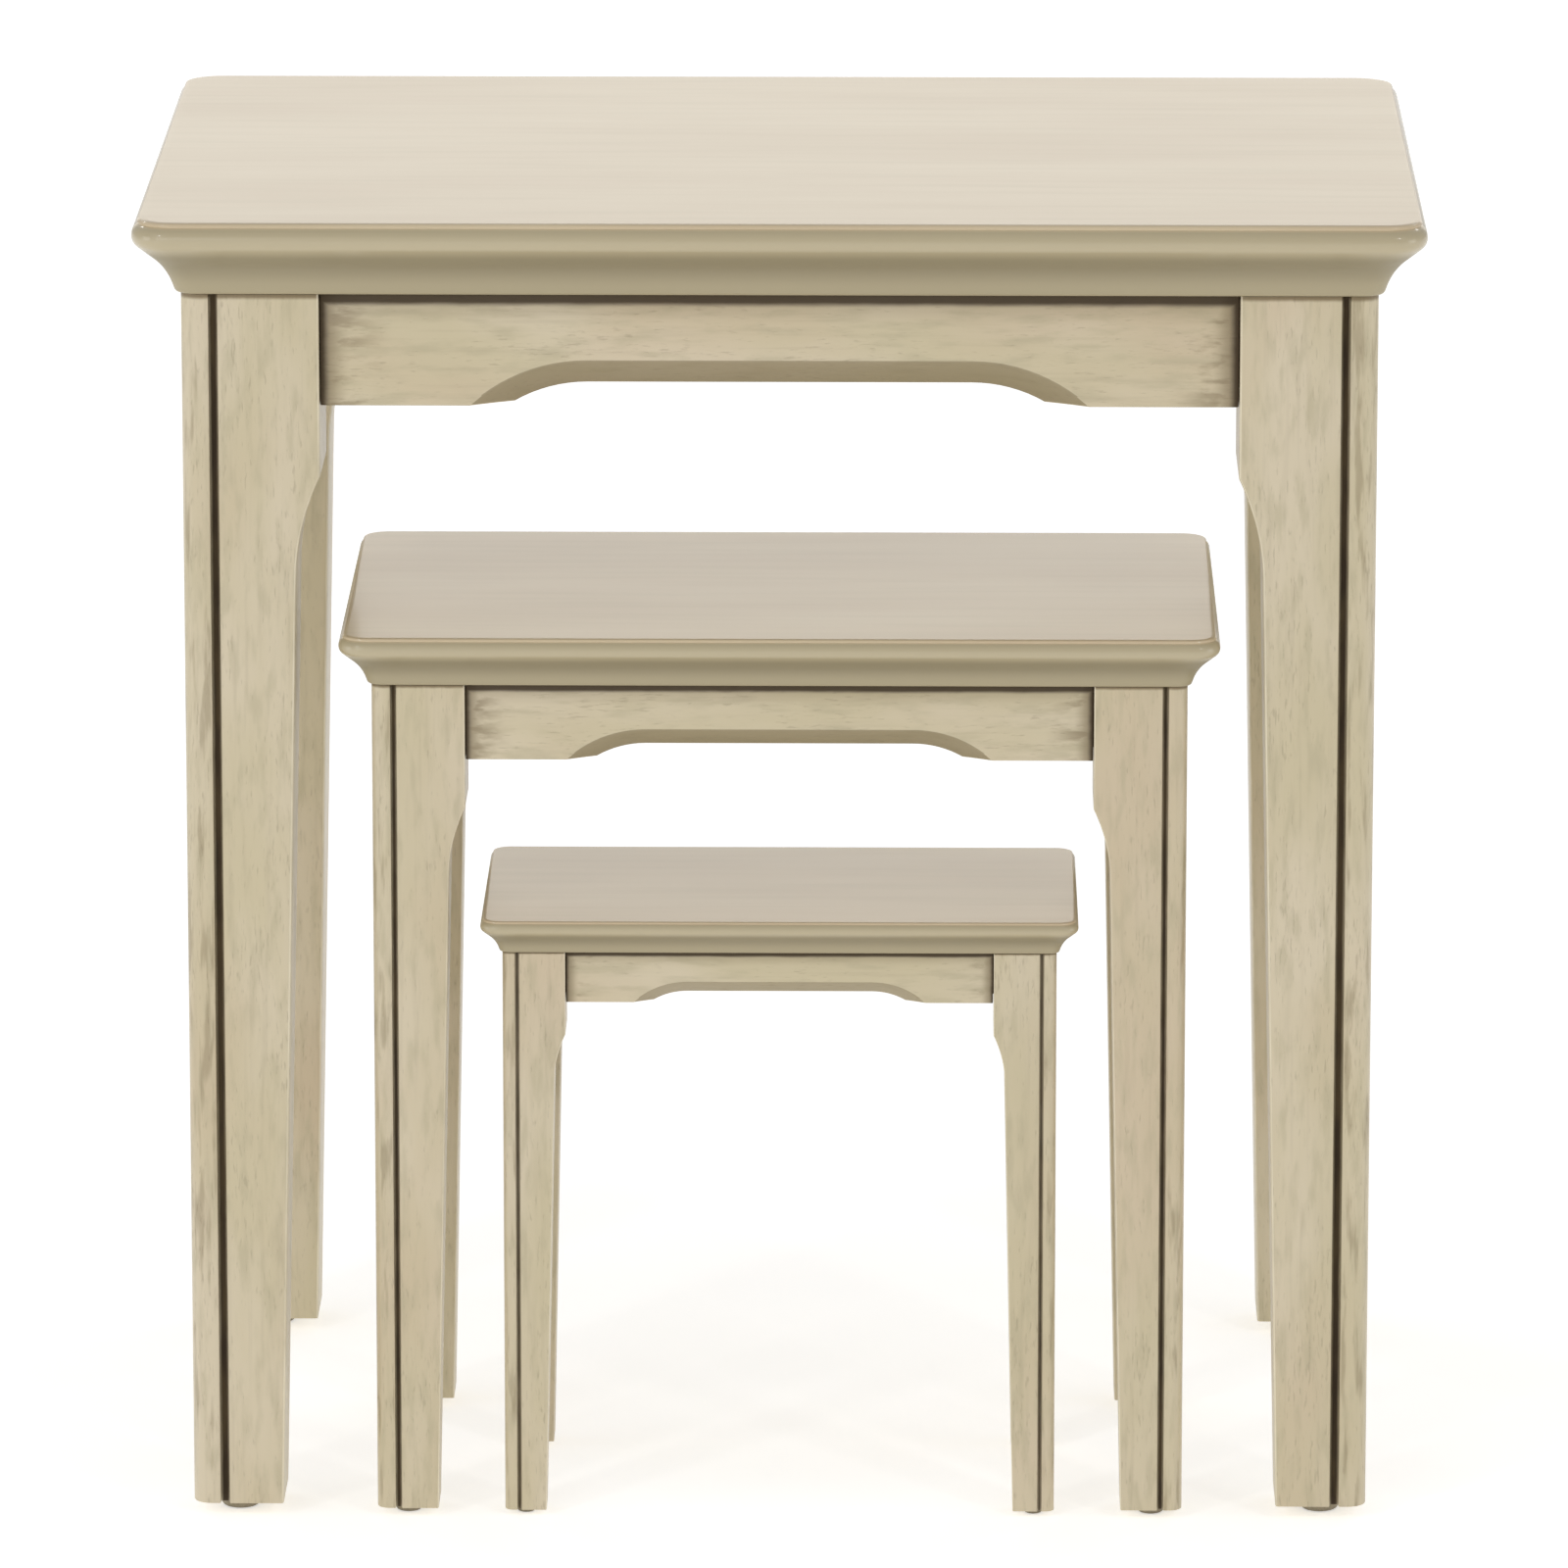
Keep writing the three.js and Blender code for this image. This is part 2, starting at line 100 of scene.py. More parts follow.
BLOCK_ARRIS = 1 * MM
HOLE_RADIUS = 2.6 * MM
DRILL_LENGTH = 80 * MM          # longer than any way through a block
SCREW_HEAD = 4.6 * MM
SCREW_HEAD_HEIGHT = 3 * MM
SCREW_SHANK = 2.2 * MM
SCREW_BITE = 12 * MM            # length of a screw in the wood past its block
SCREW_TAPER = 0.2               # share of a screw's length that narrows to its point
SCREW_POINT = 0.1               # width of the point, as a share of the shank
HEAD_CROWN = 0.7                # share of the head's height that is rounded
CROSS_LENGTH = 1.1              # of the recess, as shares of the head's radius
CROSS_WIDTH = 0.24
CROSS_FLOOR = 0.35              # share of the head's height left under the recess

GLIDE_RADIUS = 8.8 * MM
GLIDE_FLAT = 5.6 * MM           # radius of the flat that stands on the floor
GLIDE_DOME = 0.55               # fullness of the round beside it, where 0.5 is an arc
NAIL_RADIUS = 1.6 * MM
NAIL_LENGTH = 14 * MM

GAP = 0.3 * MM                  # clearance between pieces that meet

PLAN_STEPS = 10                 # facets round a corner of the top, and round the bead
SHOULDER_STEPS = 14             # facets down the curved shoulder of a leg
ARCH_STEPS = 24                 # facets along each end of an arch
ROD_SIDES = 24
GLIDE_SIDES = 40
SCREW_SIDES = 32

SLACK = 5e-6                    # how far apart two places that should agree may come out
WELD = 1e-6                     # points closer than this become one
FACING = 0.9                    # least share of a normal along an axis that a face looks along
SLANTED = 0.25                  # least share of a normal along both X and Y on an upright arris
TILTED = 0.3                    # share of a normal along Z that an upright face stays under
SHARP = 30                      # degrees past which an arris is eased
SMOOTH = 32                     # degrees up to which faces shade as one surface
TOP_SMOOTH = 24                 # the same on a top, whose crease stays crisp

TABLES = ["large", "medium", "small"]
CORNERS = {
    "front_left": (-1, -1),
    "front_right": (1, -1),
    "rear_left": (-1, 1),
    "rear_right": (1, 1),
}


class Table:
    """The measures of one table, read from the frame."""

    def __init__(self, name):
        self.name = name
        self.body = f"{name}_table"
        self.top_low, self.top_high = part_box(f"{name}_top")
        self.section = (self.top_high.z - self.top_low.z) / TOP_THICKNESS
        leg_low, leg_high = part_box(f"{name}_leg_front_left")
        self.middle_y = (self.top_low.y + self.top_high.y) / 2
        self.half_x = -leg_low.x
        self.half_y = self.middle_y - leg_low.y
        self.foot_z = leg_low.z
        self.frame_top = leg_high.z
        self.underside = self.top_low.z

    def size(self, length):
        """A length on the large table, at this table's own section."""
        return length * self.section

    def at(self, corner, in_x, in_y, z):
        """The point at given distances in from a corner's two outer faces."""
        side_x, side_y = corner
        return Vector((
            side_x * (self.half_x - in_x),
            self.middle_y + side_y * (self.half_y - in_y),
            z,
        ))


# ---- Finishes ----------------------------------------------------------------------------------------


class Value:
    """A socket of a material's node tree that takes part in ordinary sums."""

    def __init__(self, finish, socket):
        self.finish = finish
        self.socket = socket

    def sum_of(self, operation, *terms):
        return self.finish.node("ShaderNodeMath", {"operation": operation}, dict(enumerate(terms)))

    def __add__(self, other):
        return self.sum_of("ADD", self, other)

    __radd__ = __add__

    def __sub__(self, other):
        return self.sum_of("SUBTRACT", self, other)

    def __rsub__(self, other):
        return self.sum_of("SUBTRACT", other, self)

    def __mul__(self, other):
        return self.sum_of("MULTIPLY", self, other)

    __rmul__ = __mul__

    def __abs__(self):
        return self.sum_of("ABSOLUTE", self)

    def most(self, other):
        """The greater of the two."""
        return self.sum_of("MAXIMUM", self, other)

    def fade(self, start, end):
        """0 up to the start, 1 from the end on, and smooth between them."""
        settings = {"interpolation_type": "SMOOTHSTEP"}
        inputs = {"Value": self, "From Min": start, "From Max": end}
        return self.finish.node("ShaderNodeMapRange", settings, inputs)


class Finish:
    """A material, with its patterns laid out in the object's own coordinates."""

    def __init__(self, name, roughness, specular=0.5):
        self.material = bpy.data.materials.new(name)
        self.material.use_nodes = True
        self.tree = self.material.node_tree
        self.shader = self.tree.nodes["Principled BSDF"]
        self.shader.inputs["Roughness"].default_value = roughness
        self.shader.inputs["Specular IOR Level"].default_value = specular
        self.place = self.node("ShaderNodeTexCoord", {}, {}, "Object")

    def node(self, kind, settings, inputs, output=0):
        """Adds a node: its settings first, then the values or links of its sockets."""
        made = self.tree.nodes.new(kind)
        for setting, value in settings.items():
            setattr(made, setting, value)
        for socket, value in inputs.items():
            if isinstance(value, Value):
                self.tree.links.new(value.socket, made.inputs[socket])
            else:
                made.inputs[socket].default_value = value
        return Value(self, made.outputs[output])

    def feed(self, socket, value):
        """Links a value to one of the shader's sockets."""
        self.tree.links.new(value.socket, self.shader.inputs[socket])

    def axes(self):
        """The three coordinates of a point, each as a value of its own."""
        return [self.node("ShaderNodeSeparateXYZ", {}, {0: self.place}, axis) for axis in range(3)]

    def noise(self, scale, detail=2, shift=(0, 0, 0)):
        """Smooth noise between 0 and 1, with its own fineness along each axis."""
        place = self.node(
            "ShaderNodeMapping",
            {},
            {"Vector": self.place, "Scale": scale, "Location": shift},
        )
        return self.node("ShaderNodeTexNoise", {}, {"Vector": place, "Scale": 1, "Detail": detail})

    def blend(self, share, first, second):
        """A colour that goes from the first to the second as the share goes from 0 to 1."""
        inputs = {"Factor": share, 6: first, 7: second}
        return self.node("ShaderNodeMix", {"data_type": "RGBA"}, inputs, 2)

    def bump(self, height, depth, strength):
        """Raises the surface by up to the depth as the height goes from 0 to 1."""
        inputs = {"Height": height, "Distance": depth, "Strength": strength}
        self.feed("Normal", self.node("ShaderNodeBump", {}, inputs))


def along_grain(grain, across, along):
    """The scale of a pattern that runs along one axis."""
    return tuple(along if axis == grain else across for axis in range(3))


CREAM = (0.540, 0.468, 0.308, 1)
CREAM_PALE = (0.600, 0.520, 0.375, 1)
CREAM_WARM = (0.540, 0.430, 0.290, 1)
CREAM_OLIVE = (0.415, 0.365, 0.235, 1)
# pale painted highlight for the eased arrises of the legs
ARRIS_HIGHLIGHT = (0.800, 0.730, 0.560, 1)
PORE = (0.235, 0.190, 0.125, 1)
# dark glaze for the grooves and joints, also used for painted shadow under the tops
GLAZE_AND_SHADOW = (0.042, 0.025, 0.010, 1)
THIN_GLAZE_AND_SHADE = (0.165, 0.115, 0.048, 1)
ARCH_SHADE = (0.250, 0.200, 0.115, 1)
TOP_CREAM = (0.605, 0.497, 0.325, 1)
TOP_WARM = (0.575, 0.455, 0.292, 1)
TOP_EDGE = (0.410, 0.352, 0.220, 1)
# painted shade with a little glaze, for the cove under a top's nose
COVE_SHADE = (0.205, 0.172, 0.100, 1)
WOOD_PALE = (0.56, 0.38, 0.20, 1)
WOOD_RING = (0.40, 0.24, 0.11, 1)
WOOD_FIBRE = (0.26, 0.15, 0.07, 1)
PLASTIC_PALE = (0.28, 0.240, 0.16, 1)
PLASTIC_DARK = (0.22, 0.185, 0.12, 1)
PLASTIC_SCUFF = (0.10, 0.085, 0.055, 1)
ZINC_PALE = (0.62, 0.60, 0.52, 1)
ZINC_DULL = (0.42, 0.41, 0.38, 1)
FLOOR_GREY = (0.90, 0.90, 0.90, 1)
FLOOR_PALE = (0.92, 0.92, 0.92, 1)
WHITE = (1, 1, 1, 1)

PORE_DEPTH = 0.12 * MM
FACE_ROUGHNESS = 0.36
APRON_ROUGHNESS = 0.38
LACQUER_ROUGHNESS = 0.12


def cream_paint(finish, grain):
    """Cream paint over open grain: the colour, and how deep each spot lies in a pore."""
    patches = finish.noise(along_grain(grain, 34, 9), 3)
    clouds = finish.noise(along_grain(grain, 16, 7), 2, (3, 5, 1))
    mottle = finish.noise(along_grain(grain, 210, 45), 4, (5, 1, 8))
    streaks = finish.noise(along_grain(grain, 420, 16), 2)
    ticks = finish.noise(along_grain(grain, 900, 160), 2, (1, 2, 4))
    crowd = finish.noise(along_grain(grain, 60, 18), 2, (7, 3, 2))
    pores = (ticks + crowd * 0.35).fade(0.76, 0.96)
    colour = finish.blend(patches.fade(0.35, 0.7), CREAM, CREAM_PALE)
    colour = finish.blend(clouds.fade(0.45, 0.75) * 0.6, colour, CREAM_WARM)
    colour = finish.blend(mottle.fade(0.45, 0.72) * 0.5, colour, CREAM_OLIVE)
    colour = finish.blend(streaks.fade(0.5, 0.8) * 0.12, colour, PORE)
    colour = finish.blend(pores * 0.32, colour, PORE)
    return colour, pores, streaks


def finish_paint(finish, colour, pores, streaks, glazed, roughness):
    """Ends a cream paint: its pores and glaze are duller than the paint, and the pores are sunk."""
    finish.feed("Base Color", colour)
    shine = pores * 0.2 + streaks * 0.12 + (roughness - 0.06)
    finish.feed("Roughness", shine.most(glazed * 0.85))
    finish.bump(streaks * 0.25 - pores, PORE_DEPTH, 0.35)


def leg_paint(table, on_arris):
    """Painted wood with its grain upright, dark glaze in both quirks, and painted shadow with some
    glaze under the top.

    On the eased arrises a pale painted highlight lies over the paint.
    """
    part = "arris" if on_arris else "face"
    finish = Finish(f"{table.name}_leg_{part}_paint", FACE_ROUGHNESS)
    x, y, z = finish.axes()
    in_x = table.half_x - abs(x)
    in_y = table.half_y - abs(y - table.middle_y)
    below_top = table.underside - z
    colour, pores, streaks = cream_paint(finish, 2)
    ragged = finish.noise((300, 300, 60), 3) * 0.6 * MM
    patchy = finish.noise((200, 200, 35), 2, (4, 4, 9)).fade(0.3, 0.7)
    middle = table.size(BEAD + QUIRK / 2)
    half = table.size(QUIRK / 2)
    deep = table.size(QUIRK_DEPTH)

    def groove(along, inward):
        off_line = abs(along - middle) + ragged
        near_line = 1 - off_line.fade(half - 0.8 * MM, half + 0.9 * MM)
        return near_line * (1 - inward.fade(deep + 0.3 * MM, deep + 0.8 * MM))

    grooves = groove(in_x, in_y).most(groove(in_y, in_x))
    on_bead = 1 - in_x.most(in_y).fade(table.size(BEAD - MM), table.size(BEAD))
    marks = finish.noise(along_grain(2, 230, 26), 3, (9, 2, 4)).fade(0.52, 0.68)
    colour = finish.blend(on_bead * marks * 0.4, colour, THIN_GLAZE_AND_SHADE)
    # painted shadow, with some glaze, in a band just under the top
    head_shadow = 1 - (below_top + ragged).fade(table.size(1.4 * MM), table.size(3.4 * MM))
    colour = finish.blend(head_shadow * 0.9, colour, THIN_GLAZE_AND_SHADE)
    glaze = finish.blend(patchy * 0.35, GLAZE_AND_SHADOW, THIN_GLAZE_AND_SHADE)
    colour = finish.blend(grooves, colour, glaze)
    if on_arris:
        # a pale painted highlight along the eased arrises
        colour = finish.blend(patchy * 0.4 + 0.4, colour, ARRIS_HIGHLIGHT)
    finish_paint(finish, colour, pores, streaks, grooves, FACE_ROUGHNESS)
    return finish.material


def apron_paint(table, grain, arch_shaded):
    """Painted wood with its grain level, painted shadow with some glaze under the top, and glaze that
    thins out from the legs.

    The grain is 0 along X and 1 along Y. In the arch, a painted shade lies over the faces that look
    down.
    """
    side = "side" if grain else "long"
    part = "arch" if arch_shaded else "apron"
    finish = Finish(f"{table.name}_{side}_{part}_paint", APRON_ROUGHNESS)
    x, y, z = finish.axes()
    if grain:
        from_end = table.half_y - table.size(LEG_TOP) - abs(y - table.middle_y)
    else:
        from_end = table.half_x - table.size(LEG_TOP) - abs(x)
    below_top = table.underside - z
    colour, pores, streaks = cream_paint(finish, grain)
    smudge = finish.noise(along_grain(grain, 170, 48), 4, (2, 6, 5))
    ragged = finish.noise(along_grain(grain, 300, 60), 3) * 0.8 * MM
    # glaze smudged near the legs and thick at the joints, and painted shadow fading down from under the
    # top
    wide = (1 - from_end.fade(table.size(2 * MM), table.size(34 * MM))) * smudge.fade(0.46, 0.66)
    close = 1 - from_end.fade(table.size(2 * MM), table.size(14 * MM))
    shade = 1 - below_top.fade(table.size(4 * MM), table.size(15 * MM))
    glaze_and_shade = wide.most(close * 0.95).most(shade * 0.45)
    colour = finish.blend(glaze_and_shade * 0.7, colour, THIN_GLAZE_AND_SHADE)
    # a dark glaze line at each joint, and a dark band of painted shadow with some glaze just under the
    # top
    joint = 1 - (from_end + ragged).fade(table.size(1.6 * MM), table.size(5.5 * MM))
    under = 1 - (below_top + ragged).fade(table.size(4.2 * MM), table.size(7.0 * MM))
    colour = finish.blend(joint.most(under) * 0.92, colour, GLAZE_AND_SHADOW)
    # painted shade over the faces that look down into the arch
    if arch_shaded:
        colour = finish.blend(0.72, colour, ARCH_SHADE)
    finish_paint(finish, colour, pores, streaks, joint.most(under), APRON_ROUGHNESS)
    return finish.material


def top_paint(table):
    """Smooth satin paint on the top, with painted shade and a little glaze in the cove of its edge."""
    finish = Finish(f"{table.name}_top_paint", FACE_ROUGHNESS)
    _x, _y, z = finish.axes()
    finish.shader.inputs["Coat Roughness"].default_value = LACQUER_ROUGHNESS
    drop = table.top_high.z - z
    patches = finish.noise(along_grain(0, 15, 4), 3)
    streaks = finish.noise(along_grain(0, 130, 7), 3)
    colour = finish.blend(patches.fade(0.35, 0.7), TOP_CREAM, TOP_WARM)
    colour = finish.blend(streaks.fade(0.45, 0.75) * 0.14, colour, CREAM_OLIVE)
    edge = drop.fade(table.size(1.4 * MM), table.size(3.2 * MM))
    colour = finish.blend(edge * 0.85, colour, TOP_EDGE)
    # painted shade with a little glaze in the cove, lighter again towards the lip
    cove = drop.fade(table.size(10 * MM), table.size(17 * MM))
    lip = drop.fade(table.size(20 * MM), table.size(31 * MM))
    colour = finish.blend(cove * (0.75 - lip * 0.42), colour, COVE_SHADE)
    finish.feed("Base Color", colour)
    finish.feed("Roughness", patches * 0.08 + streaks * 0.08 + cove * 0.16 + 0.28)
    finish.feed("Coat Weight", 0.6 - cove * 0.5)
    finish.bump(streaks, 0.05 * MM, 0.2)
    return finish.material


def bare_wood():
    """Sawn softwood."""
    finish = Finish("bare_wood", roughness=0.8, specular=0.3)
    rings = finish.noise((60, 60, 600), 3)
    fibres = finish.noise((240, 240, 2600), 2)
    colour = finish.blend(rings.fade(0.35, 0.7), WOOD_PALE, WOOD_RING)
    colour = finish.blend(fibres.fade(0.45, 0.8) * 0.35, colour, WOOD_FIBRE)
    finish.feed("Base Color", colour)
    finish.bump(fibres, 0.2 * MM, 0.5)
    return finish.material


def glide_plastic():
    """Brown moulded plastic, scuffed where it meets the floor."""
    finish = Finish("glide_plastic", roughness=0.5)
    _x, _y, z = finish.axes()
    grit = finish.noise((900, 900, 900), 2)
    scuff = 1 - z.fade(0.2 * MM, 2.5 * MM)
    colour = finish.blend(grit.fade(0.3, 0.7), PLASTIC_PALE, PLASTIC_DARK)
    colour = finish.blend(scuff * 0.5, colour, PLASTIC_SCUFF)
    finish.feed("Base Color", colour)
    finish.feed("Roughness", grit * 0.15 + scuff * 0.2 + 0.4)
    finish.bump(grit, 0.06 * MM, 0.4)
    return finish.material


def screw_steel():
    """Zinc plated steel."""
    finish = Finish("screw_steel", roughness=0.35)
    finish.shader.inputs["Metallic"].default_value = 1
    cloud = finish.noise((500, 500, 500), 3)
    colour = finish.blend(cloud.fade(0.3, 0.7), ZINC_PALE, ZINC_DULL)
    finish.feed("Base Color", colour)
    finish.feed("Roughness", cloud * 0.2 + 0.25)
    return finish.material


def studio_floor():
    """A plain pale floor that glows a little, so that it meets the white world without a line."""
    finish = Finish("studio_floor", roughness=0.9, specular=0.1)
    cloud = finish.noise((3, 3, 3), 2)
    finish.feed("Base Color", finish.blend(cloud, FLOOR_GREY, FLOOR_PALE))
    finish.shader.inputs["Emission Color"].default_value = WHITE
    finish.shader.inputs["Emission Strength"].default_value = FLOOR_GLOW
    return finish.material


# ---- Modelling helpers -------------------------------------------------------------------------------


def start_clean():
    """Leaves edit mode, and nothing selected."""
    if bpy.context.object and bpy.context.object.mode != "OBJECT":
        bpy.ops.object.mode_set(mode="OBJECT")
    bpy.ops.object.select_all(action="DESELECT")


def choose(piece):
    """Leaves only this piece selected, and active."""
    start_clean()
    piece.select_set(True)
    bpy.context.view_layer.objects.active = piece


def keep_in_mesh(name):
    """Names the object just added and puts its place, turn and scale into its mesh."""
    piece = bpy.context.object
    piece.name = name
    piece.data.name = name
    bpy.ops.object.transform_apply(location=True, rotation=True, scale=True)
    return piece


def add_box(name, first, second):
    """A box between two opposite corners."""
    start_clean()
    size = Vector([abs(b - a) for a, b in zip(first, second)])
    bpy.ops.mesh.primitive_cube_add(size=1, location=(first + second) / 2, scale=size)
    return keep_in_mesh(name)


def add_panel(name, first, second):
    """A flat rectangle between two opposite corners at the same height."""
    start_clean()
    size = Vector((abs(second.x - first.x), abs(second.y - first.y), 1))
    bpy.ops.mesh.primitive_plane_add(size=1, location=(first + second) / 2)
    bpy.context.object.scale = size
    return keep_in_mesh(name)


def add_rod(name, start, end, radius, sides=ROD_SIDES):
    """A cylinder from one point to another."""
    start_clean()
    along = end - start
    bpy.ops.mesh.primitive_cylinder_add(
        vertices=sides,
        radius=radius,
        depth=along.length,
        location=(start + end) / 2,
        rotation=along.to_track_quat("Z", "Y").to_euler(),
    )
    return keep_in_mesh(name)


def edit(piece):
    choose(piece)
    bpy.ops.object.mode_set(mode="EDIT")
    return piece


def leave_edit():
    bpy.ops.object.mode_set(mode="OBJECT")


def pick(kind, test):
    """Selects, in edit mode, only the points, edges or faces that pass the test.

    The test is given a middle point, and a normal as well for faces.
    """
    piece = bpy.context.object
    bpy.context.tool_settings.mesh_select_mode = (kind == "VERT", kind == "EDGE", kind == "FACE")
    shape = bmesh.from_edit_mesh(piece.data)
    shape.select_mode = {kind}
    for group in (shape.verts, shape.edges, shape.faces):
        for element in group:
            element.select = False
    if kind == "VERT":
        chosen = [vert for vert in shape.verts if test(vert.co)]
    elif kind == "EDGE":
        chosen = [edge for edge in shape.edges if test(edge.verts[0].co, edge.verts[1].co)]
    else:
        chosen = [face for face in shape.faces if test(face.calc_center_median(), face.normal)]
    for element in chosen:
        element.select_set(True)
    shape.select_flush_mode()
    bmesh.update_edit_mesh(piece.data)


def near(a, b):
    return abs(a - b) < SLACK


def pick_level_face(z):
    """Selects the face that lies level at a height."""
    pick("FACE", lambda middle, normal: near(middle.z, z) and abs(normal.z) > FACING)


def extrude(x, y, z):
    """Draws the selected face out, and leaves its far end selected."""
    bpy.ops.mesh.extrude_region_move(TRANSFORM_OT_translate={"value": (x, y, z)})


def round_points(radius, segments):
    """Rounds the selected points of an outline."""
    bpy.ops.mesh.bevel(
        affect="VERTICES",
        offset=radius,
        offset_type="OFFSET",
        segments=segments,
    )


def round_edges(width, segments, profile=0.5):
    """Rounds the selected edges."""
    bpy.ops.mesh.bevel(
        affect="EDGES",
        offset=width,
        offset_type="OFFSET",
        segments=segments,
        profile=profile,
    )


def recalculate_outward(piece):
    """Joins points that coincide, and turns every face outwards."""
    edit(piece)
    bpy.ops.mesh.select_all(action="SELECT")
    bpy.ops.mesh.remove_doubles(threshold=WELD)
    bpy.ops.mesh.normals_make_consistent(inside=False)
    leave_edit()


def combine(piece, other, operation):
    """Joins another closed shape to a piece, or cuts it out, and takes that shape away."""
    choose(piece)
    boolean = piece.modifiers.new("boolean", "BOOLEAN")
    boolean.operation = operation
    boolean.solver = "EXACT"
    boolean.object = other
    bpy.ops.object.modifier_apply(modifier=boolean.name)
    bpy.data.objects.remove(other, do_unlink=True)


def carve(piece, cutters):
    for cutter in cutters:
        combine(piece, cutter, "DIFFERENCE")


def ease(piece, width, segments=3):
    """Rounds every sharp arris a little."""
    choose(piece)
    bevel = piece.modifiers.new("ease", "BEVEL")
    bevel.width = width
    bevel.segments = segments
    bevel.limit_method = "ANGLE"
    bevel.angle_limit = math.radians(SHARP)
    bpy.ops.object.modifier_apply(modifier=bevel.name)


def smooth(piece, angle=SMOOTH):
    choose(piece)
    bpy.ops.object.shade_smooth_by_angle(angle=math.radians(angle))


def set_down(piece, rotation, place):
    """Turns a piece about the origin, then moves it to its place."""
    choose(piece)
    piece.rotation_euler = rotation
    piece.location = place
    bpy.ops.object.transform_apply(location=True, rotation=True, scale=True)


def duplicate(piece, name):
    """A copy with a mesh of its own."""
    twin = piece.copy()
    twin.data = piece.data.copy()
    twin.name = name
    twin.data.name = name
    bpy.context.scene.collection.objects.link(twin)
    return twin


def reflect(piece, name, table, corner):
    """A copy of a front left piece for another corner of the same table."""
    twin = duplicate(piece, name)
    side_x, side_y = corner
    edit(twin)
    bpy.ops.mesh.select_all(action="SELECT")
    bpy.ops.transform.resize(
        value=(-side_x, -side_y, 1),
        center_override=(0, table.middle_y, 0),
    )
    bpy.ops.mesh.normals_make_consistent(inside=False)
    leave_edit()
    return twin


def fit_to_frame(piece, table, materials, slot, *nodes):
    """Paints a finished piece and hangs it on its table's body, in place of its plain nodes."""
    piece.data.materials.clear()
    for material in materials:
        piece.data.materials.append(material)
    if nodes:
        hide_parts(*nodes)
    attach(piece, table.body)


def place_at_corners(piece, table, label, materials, slot, node=None):
    """Puts a finished copy of a front left piece at each corner, and takes the first one away."""
    twins = []
    for name, corner in CORNERS.items():
        twin = reflect(piece, f"{table.name}_{name}_{label}", table, corner)
        smooth(twin)
        nodes = [f"{table.name}_{node}_{name}"] if node else []
        fit_to_frame(twin, table, materials, slot, *nodes)
        twins.append(twin)
    bpy.data.objects.remove(piece, do_unlink=True)
    return twins


# ---- Tops --------------------------------------------------------------------------------------------


def moulding_profile():
    """The moulded edge as (inset, drop) pairs, from the upper face down to the foot of the lip.

    Angles are degrees from level: -90 looks up, 0 outwards and 90 down.
    """
    points = []

    def round_out(inset, drop, radius, start, end, steps):
        for step in range(steps + 1):
            turn = math.radians(start + (end - start) * step / steps)
            points.append((inset - radius * math.cos(turn), drop + radius * math.sin(turn)))

    def hollow_in(inset, drop, radius, start, end, steps):
        for step in range(steps + 1):
            turn = math.radians(start + (end - start) * step / steps)
            points.append((inset + radius * math.cos(turn), drop - radius * math.sin(turn)))

    turned = math.radians(NOSE_TURN)
    round_out(RIDGE_BACK + RIDGE, RIDGE, RIDGE, -90, RIDGE_END, 3)
    round_out(NOSE, NOSE_DROP, NOSE, NOSE_START, 0, 5)
    round_out(NOSE, NOSE_DROP, NOSE, NOSE_TURN / 6, NOSE_TURN, 5)
    inset, drop = points[-1]
    inset += RUN * math.sin(turned)
    drop += RUN * math.cos(turned)
    centre = (inset - COVE * math.cos(turned), drop + COVE * math.sin(turned))
    hollow_in(*centre, COVE, NOSE_TURN, COVE_END, 8)
    inset, drop = points[-1]
    lean = math.radians(COVE_END)
    inset += LIP * math.sin(lean)
    drop += LIP * math.cos(lean)
    centre = (inset + LIP_ROUND * math.cos(lean), drop - LIP_ROUND * math.sin(lean))
    round_out(*centre, LIP_ROUND, COVE_END, 90, 5)
    full_inset, full_drop = points[-1]
    return [
        (inset * MOULDING_INSET / full_inset, drop * TOP_THICKNESS / full_drop)
        for inset, drop in points
    ]


def plan_corner(table, inset):
    """Half sizes and corner radius of the top's outline at a given inset."""
    share = inset / MOULDING_INSET
    radius = table.size(TOP_CORNER + (LIP_CORNER - TOP_CORNER) * share)
    half = (table.top_high - table.top_low) / 2
    return half.x - table.size(inset), half.y - table.size(inset), radius


def reshape_outline(table, before, after, z):
    """Moves the four rounded corners of the outline at a height from one size to the next."""
    for side_x, side_y in CORNERS.values():
        old_x, old_y, old_radius = before
        new_x, new_y, new_radius = after
        centre = Vector((
            side_x * (old_x - old_radius),
            table.middle_y + side_y * (old_y - old_radius),
            z,
        ))
        goal = Vector((
            side_x * (new_x - new_radius),
            table.middle_y + side_y * (new_y - new_radius),
            z,
        ))

        def in_corner(point):
            away_y = point.y - table.middle_y
            return near(point.z, z) and point.x * side_x > 0 and away_y * side_y > 0

        pick("VERT", in_corner)
        growth = new_radius / old_radius
        bpy.ops.transform.resize(value=(growth, growth, 1), center_override=centre)
        bpy.ops.transform.translate(value=goal - centre)


